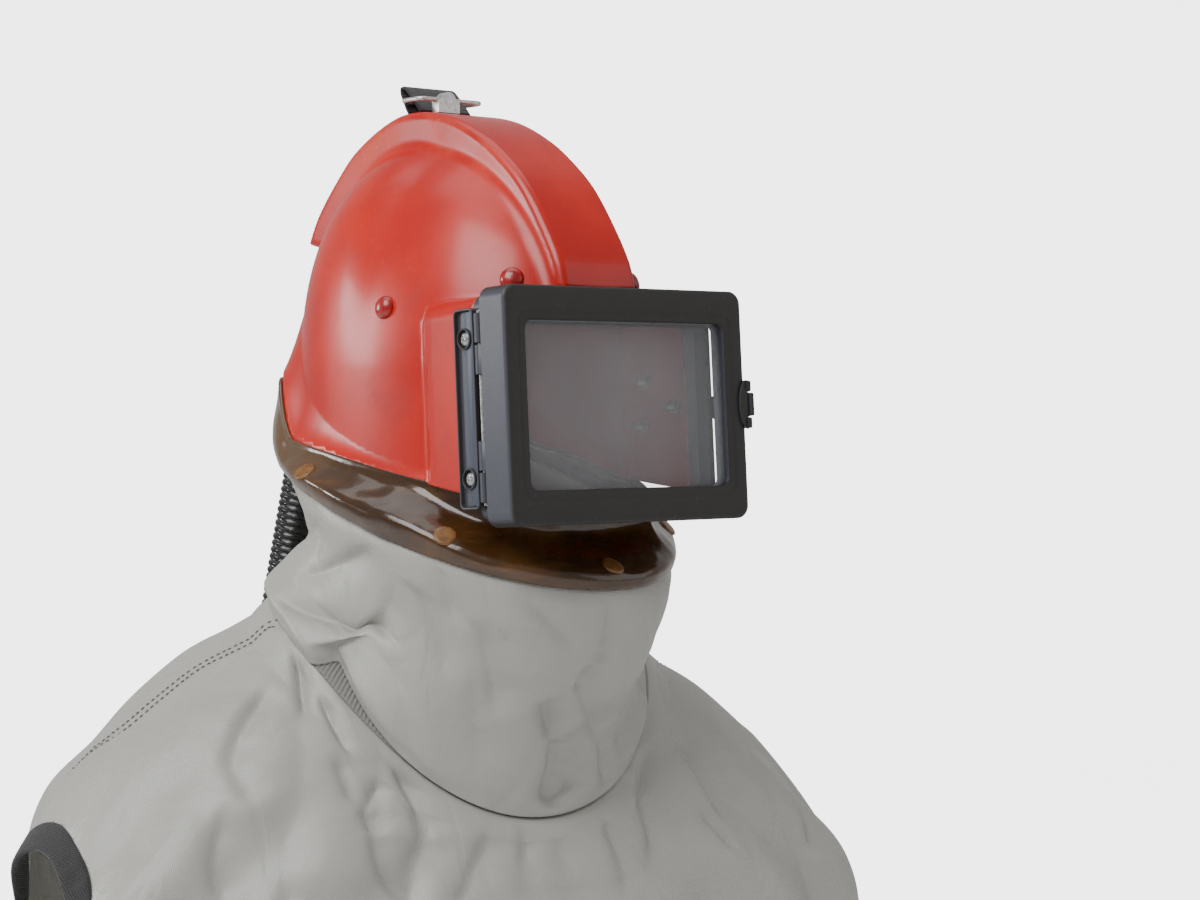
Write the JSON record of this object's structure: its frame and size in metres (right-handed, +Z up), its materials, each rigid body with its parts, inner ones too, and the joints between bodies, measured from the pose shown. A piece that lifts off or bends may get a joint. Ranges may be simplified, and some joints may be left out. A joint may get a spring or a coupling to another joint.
{
  "type": "sandblasting hood",
  "caption": "Worn blasting hood: crested rigid shell, hinged window with latch, rubber collar, cloth neck and cape, hanging air hose.",
  "frame": {"origin": "where the crown of the wearer's head meets the hood, on the helmet's middle plane", "axes": "+Z up; the window faces -Y; +X is the wearer's left"},
  "size_m": [0.6343, 0.4633, 0.8636],
  "materials": {
    "shell": "glossy moulded",
    "rivet": "glossy",
    "frame": "fine matte moulded",
    "pane": "clear, slightly hazed",
    "retainer": "satin",
    "zinc": "zinc plated",
    "rubber": "glossy amber-brown rubber",
    "stud": "satin",
    "cloth": "satin coated twill",
    "band": "ribbed knit",
    "binding": "soft binding tape",
    "webbing": "woven webbing",
    "nickel": "nickel plated",
    "hose": "glossy corrugated",
    "coupling": "satin moulded"
  },
  "bodies": {
    "hood": {"helmet_shell": "shell", "shell_rivet_side_right": "rivet", "shell_rivet_side_left": "rivet", "shell_rivet_brow_right": "rivet", "shell_rivet_brow_left": "rivet", "window_base": "frame", "hinge_pin": "zinc", "base_screw_right_lower": "zinc", "base_screw_right_upper": "zinc", "base_screw_left_lower": "zinc", "base_screw_left_upper": "zinc", "inner_pane": "pane", "inner_bolt_1": "zinc", "inner_bolt_2": "zinc", "inner_bolt_3": "zinc", "collar": "rubber", "collar_stud_1": "stud", "collar_stud_2": "stud", "collar_stud_3": "stud", "collar_stud_4": "stud", "collar_stud_5": "stud", "collar_stud_6": "stud", "collar_stud_7": "stud", "collar_stud_8": "stud", "neck_sleeve": "cloth", "neck_band": "band", "armhole_binding_right": "binding", "armhole_binding_left": "binding", "cape": "cloth", "crest_strap": "webbing", "strap_bail": "nickel", "strap_lug": "nickel", "hose_socket": "coupling", "hose": "hose", "hose_connector": "coupling"},
    "door": {"door_frame": "frame", "door_lens": "pane", "lens_retainer": "retainer", "latch_base": "frame", "latch_pin": "zinc"},
    "latch": {"latch_lever": "frame"}
  },
  "joints": [
    {"name": "window_door", "type": "hinge", "parent": "hood", "child": "door", "pos_m": [-0.101, -0.13147, -0.13704], "axis": [0, -0.0645, -0.9979], "range_deg": [0, 100]},
    {"name": "latch_turn", "type": "hinge", "parent": "door", "child": "latch", "pos_m": [0.1076, -0.1615, -0.1351], "axis": [0, -0.0645, -0.9979], "range_deg": [0, 30]}
  ]
}
